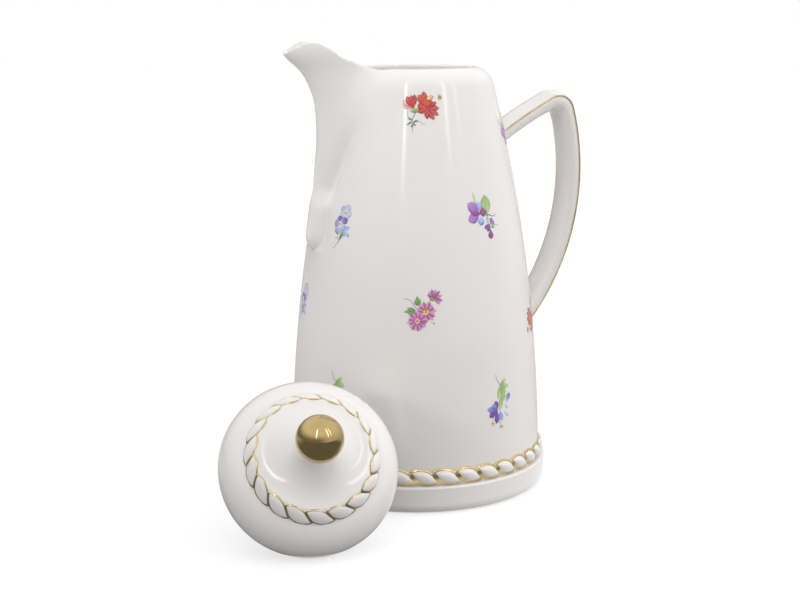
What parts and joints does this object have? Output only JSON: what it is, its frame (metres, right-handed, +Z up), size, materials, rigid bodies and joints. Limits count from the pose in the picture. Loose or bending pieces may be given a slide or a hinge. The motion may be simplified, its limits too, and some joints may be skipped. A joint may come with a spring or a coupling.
{
  "type": "coffee pot",
  "caption": "Tall glazed porcelain coffee pot with a pulled beak spout, a strap handle and a gilded rope at the foot; its domed lid with a ball knob lies beside it.",
  "frame": {"origin": "the middle of the foot ring, on the table", "axes": "+Z up along the pot's axis, the spout points along -X and the handle along +X"},
  "size_m": [0.229, 0.1942, 0.2334],
  "materials": {
    "porcelain": "clear glaze over white porcelain",
    "gilding": "burnished gold fired on the glaze"
  },
  "bodies": {
    "pot": {"pot_body": "porcelain", "foot_plinth": "porcelain", "spout": "porcelain", "handle": "porcelain", "base_rope": "porcelain", "base_rope_gilding": "gilding"},
    "lid": {"lid_dome": "porcelain", "lid_flange": "porcelain", "lid_rope": "porcelain", "lid_rope_gilding": "gilding", "knob_neck": "porcelain", "knob_collar": "gilding", "knob_ball": "gilding"}
  },
  "joints": [
    {"name": "lid_lift", "type": "slide", "parent": "pot", "child": "lid", "axis": [0, 0, 1], "range_m": [0, 0.26]}
  ]
}
